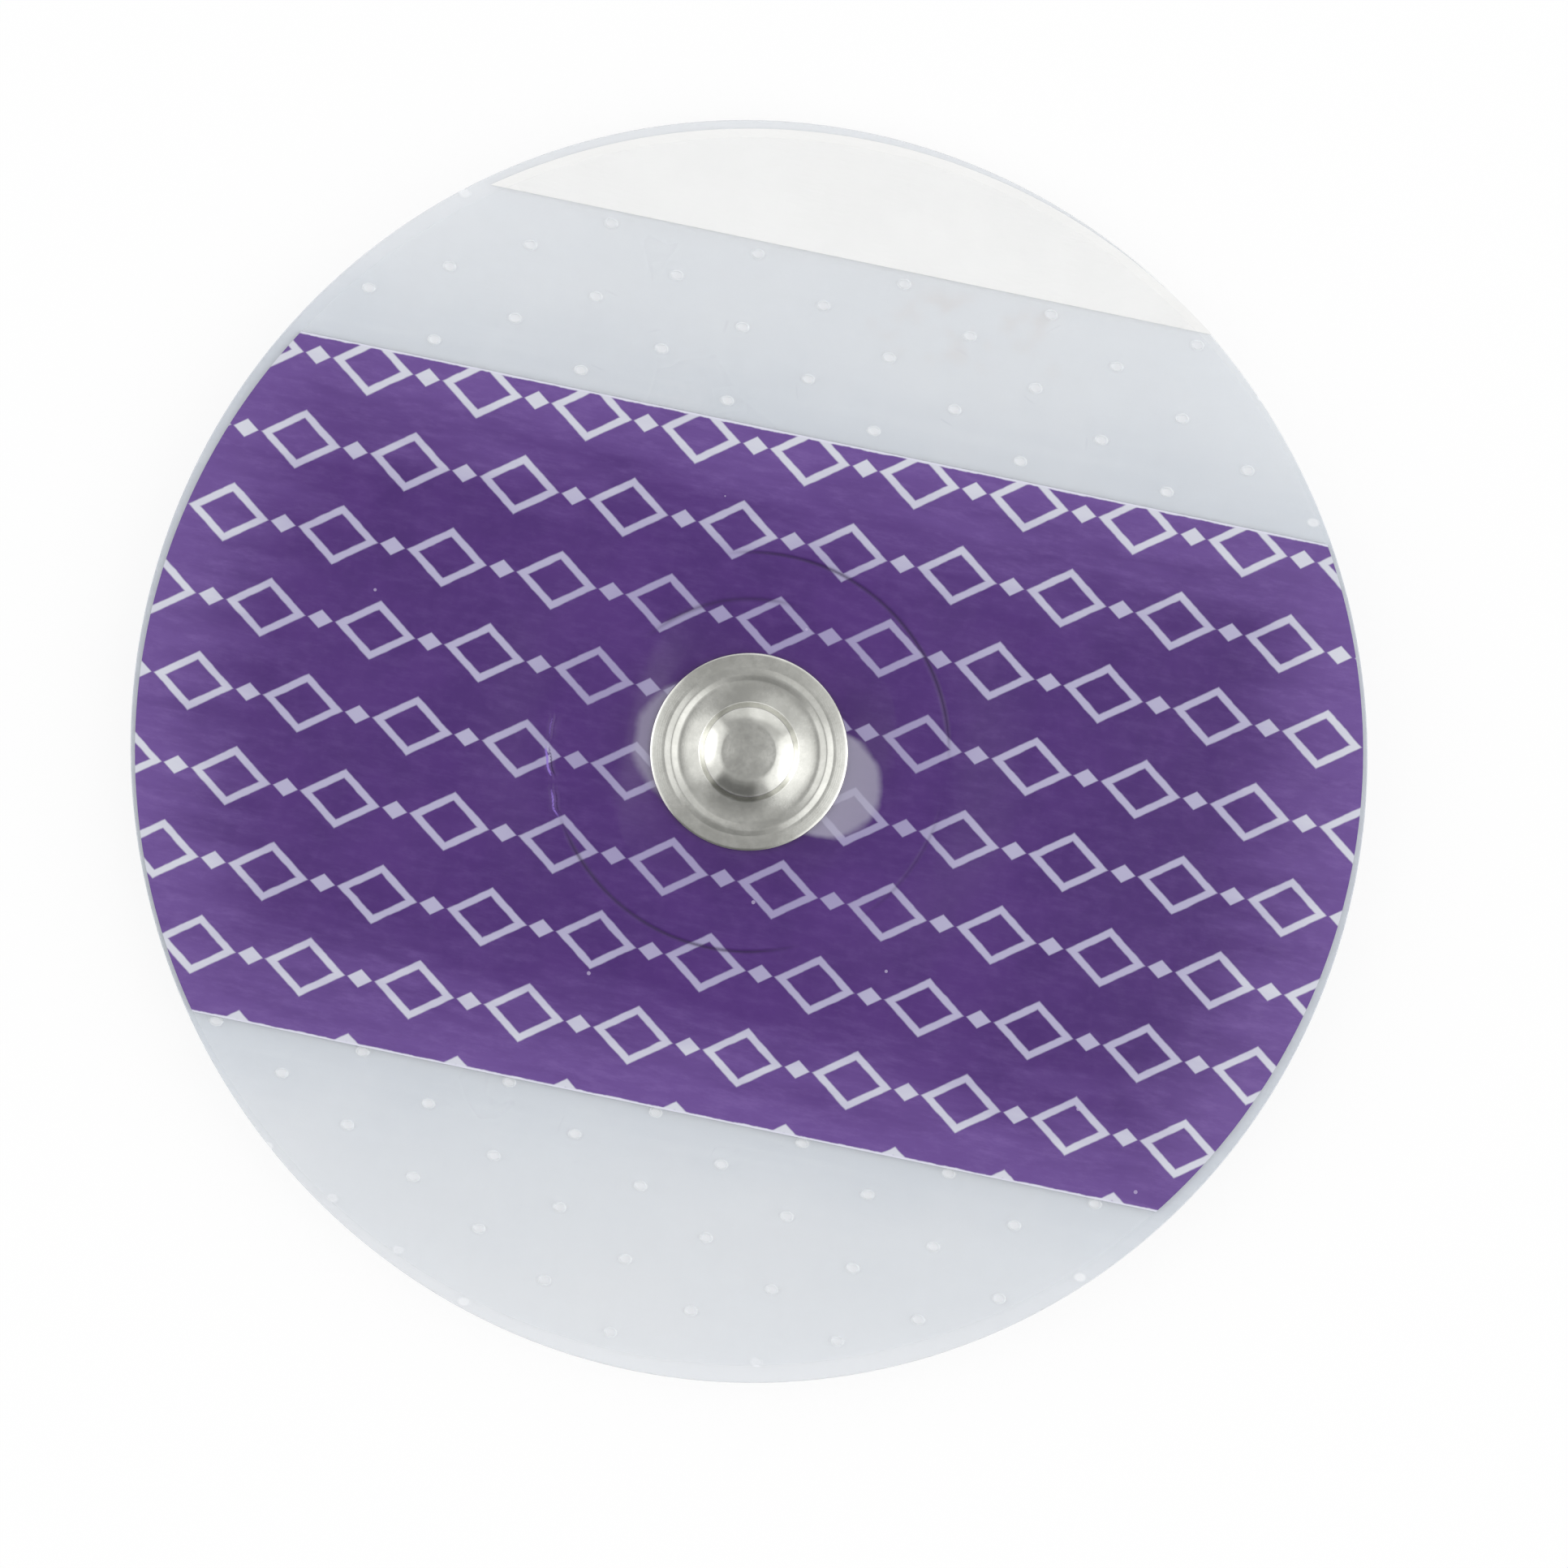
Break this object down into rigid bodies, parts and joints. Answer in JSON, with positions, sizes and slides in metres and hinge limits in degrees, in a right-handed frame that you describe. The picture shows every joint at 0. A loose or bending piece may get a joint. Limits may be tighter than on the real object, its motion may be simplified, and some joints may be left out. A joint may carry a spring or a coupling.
{
  "type": "ecg electrode",
  "caption": "Round disposable monitoring electrode: perforated adhesive tape with a purple label, snap stud for a lead, silver sensor, gel sponge and release liner",
  "frame": {"origin": "on the surface that the liner's well stands on, under the stud's axis", "axes": "+Z along the stud's axis, away from the skin; +X along the label; +Y towards the lift tab"},
  "size_m": [0.056, 0.056, 0.0052],
  "materials": {
    "nickel": "satin nickel plate on drawn sheet",
    "silver_coat": "silver and silver chloride coat on moulded plastic",
    "label_film": "glossy printed film",
    "tape_film": "clear perforated tape",
    "tab_film": "opaque white film",
    "gel_foam": "open-cell foam soaked with gel",
    "liner_film": "bluish translucent formed film"
  },
  "bodies": {
    "root": {"snap_stud": "nickel", "sensor_eyelet": "silver_coat", "label_strip": "label_film", "backing_tape": "tape_film", "lift_tab": "tab_film", "gel_sponge": "gel_foam", "release_liner": "liner_film"}
  },
  "joints": []
}
